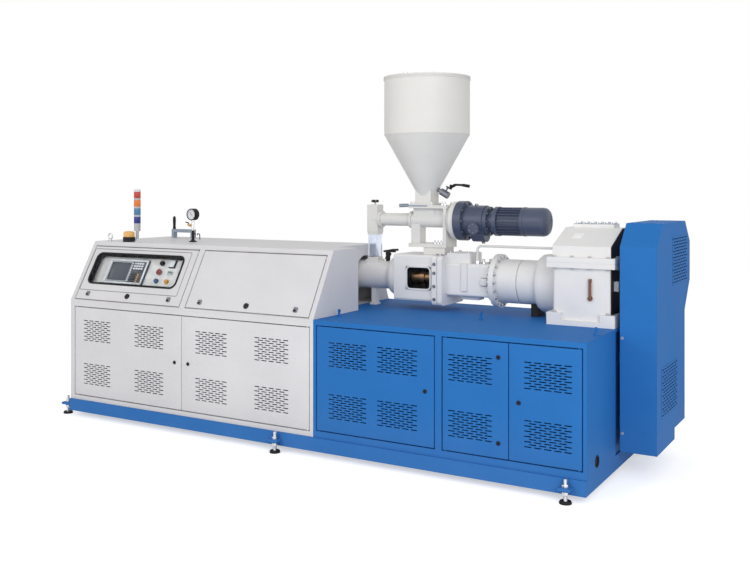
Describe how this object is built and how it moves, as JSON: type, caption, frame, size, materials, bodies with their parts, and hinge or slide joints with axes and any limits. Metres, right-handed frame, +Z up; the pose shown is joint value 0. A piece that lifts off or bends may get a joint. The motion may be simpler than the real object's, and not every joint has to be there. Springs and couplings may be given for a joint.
{
  "type": "plastic extruder",
  "caption": "Floor-standing twin-screw plastic extruder: cabinets on a plinth, hooded barrel, gearbox with belt guard, metering feeder and round hopper, with doors and covers that open.",
  "frame": {"origin": "on the floor, under the centre of the machine's bounding box", "axes": "+X along the barrel from the die end to the belt guard, -Y the operator's side, +Z up"},
  "size_m": [4.235, 1.485, 2.473],
  "materials": {
    "white_paint": "semi-gloss",
    "blue_paint": "gloss",
    "grey_paint": "satin",
    "bright_steel": "brushed",
    "zinc_steel": "satin",
    "black_metal": "satin",
    "black_plastic": "matte",
    "grey_plastic": "matte",
    "amber_plastic": "gloss",
    "lens_plastic": "gloss",
    "clear_glass": "polished",
    "brass": "turned",
    "cast_aluminium": "cast"
  },
  "bodies": {
    "machine": {"plinth": "blue_paint", "levelling_feet": "blue_paint", "left_end_wall": "white_paint", "white_front_frame": "white_paint", "machine_bed": "blue_paint", "white_deck": "white_paint", "cabinet_partition": "white_paint", "hood_front_frame": "white_paint", "hood_roof": "white_paint", "hood_rear_panel": "white_paint", "hood_right_wall": "white_paint", "control_console": "grey_plastic", "operator_terminal": "grey_plastic", "control_buttons": "black_plastic", "blue_front_frame": "blue_paint", "blue_end_wall": "blue_paint", "blue_deck": "blue_paint", "barrel": "white_paint", "barrel_supports": "white_paint", "heater_bands": "cast_aluminium", "barrel_valve": "black_metal", "coupling_housing": "white_paint", "coupling_window": "clear_glass", "shaft_couplings": "brass", "joint_flanges": "white_paint", "distribution_box": "white_paint", "torque_cylinder": "white_paint", "output_saddle": "black_metal", "gearbox_casing": "white_paint", "gearbox_cover": "white_paint", "sight_gauge": "brass", "belt_guard": "blue_paint", "feeder_frame": "white_paint", "feeder_trough": "white_paint", "feed_tube": "white_paint", "downspout_tube": "clear_glass", "hopper": "white_paint", "hopper_lid": "white_paint", "hopper_valve": "bright_steel", "feeder_reducer": "grey_paint", "feeder_motor": "grey_paint", "motor_cowl": "grey_paint", "oil_pipe": "white_paint", "signal_tower": "grey_plastic", "signal_lenses": "lens_plastic", "warning_beacon": "amber_plastic", "pressure_gauge": "black_metal", "vent_bracket": "zinc_steel"},
    "white_left_door": {"white_left_door": "white_paint"},
    "white_right_door": {"white_right_door": "white_paint"},
    "blue_left_door": {"blue_left_door": "blue_paint"},
    "blue_middle_door": {"blue_middle_door": "blue_paint"},
    "blue_right_door": {"blue_right_door": "blue_paint"},
    "left_cover": {"left_cover": "white_paint", "cover_window": "clear_glass"},
    "right_cover": {"right_cover": "white_paint"},
    "slide_gate": {"slide_gate": "zinc_steel"},
    "valve_lever": {"valve_lever": "black_metal"}
  },
  "joints": [
    {"name": "white_left_door_hinge", "type": "hinge", "parent": "machine", "child": "white_left_door", "pos_m": [-1.9605, -0.6665, 0.156], "axis": [0, 0, -1], "range_deg": [0, 100]},
    {"name": "white_right_door_hinge", "type": "hinge", "parent": "machine", "child": "white_right_door", "pos_m": [0.0915, -0.6665, 0.156], "axis": [0, 0, 1], "range_deg": [0, 90]},
    {"name": "blue_left_door_hinge", "type": "hinge", "parent": "machine", "child": "blue_left_door", "pos_m": [0.1805, -0.6665, 0.166], "axis": [0, 0, -1], "range_deg": [0, 90]},
    {"name": "blue_middle_door_hinge", "type": "hinge", "parent": "machine", "child": "blue_middle_door", "pos_m": [1.0495, -0.6665, 0.166], "axis": [0, 0, -1], "range_deg": [0, 100]},
    {"name": "blue_right_door_hinge", "type": "hinge", "parent": "machine", "child": "blue_right_door", "pos_m": [1.8405, -0.6665, 0.166], "axis": [0, 0, 1], "range_deg": [0, 100]},
    {"name": "left_cover_hinge", "type": "hinge", "parent": "machine", "child": "left_cover", "pos_m": [-1.4785, -0.45853, 1.22119], "axis": [-1, 0, 0], "range_deg": [0, 75]},
    {"name": "right_cover_hinge", "type": "hinge", "parent": "machine", "child": "right_cover", "pos_m": [-0.409, -0.45853, 1.22119], "axis": [-1, 0, 0], "range_deg": [0, 75]},
    {"name": "slide_gate_travel", "type": "slide", "parent": "machine", "child": "slide_gate", "axis": [-1, 0, 0], "range_m": [0, 0.14]},
    {"name": "valve_lever_turn", "type": "hinge", "parent": "machine", "child": "valve_lever", "pos_m": [0.63556, 0.2175, 1.68032], "axis": [-0.4884, 0, -0.8726], "range_deg": [0, 90]}
  ]
}
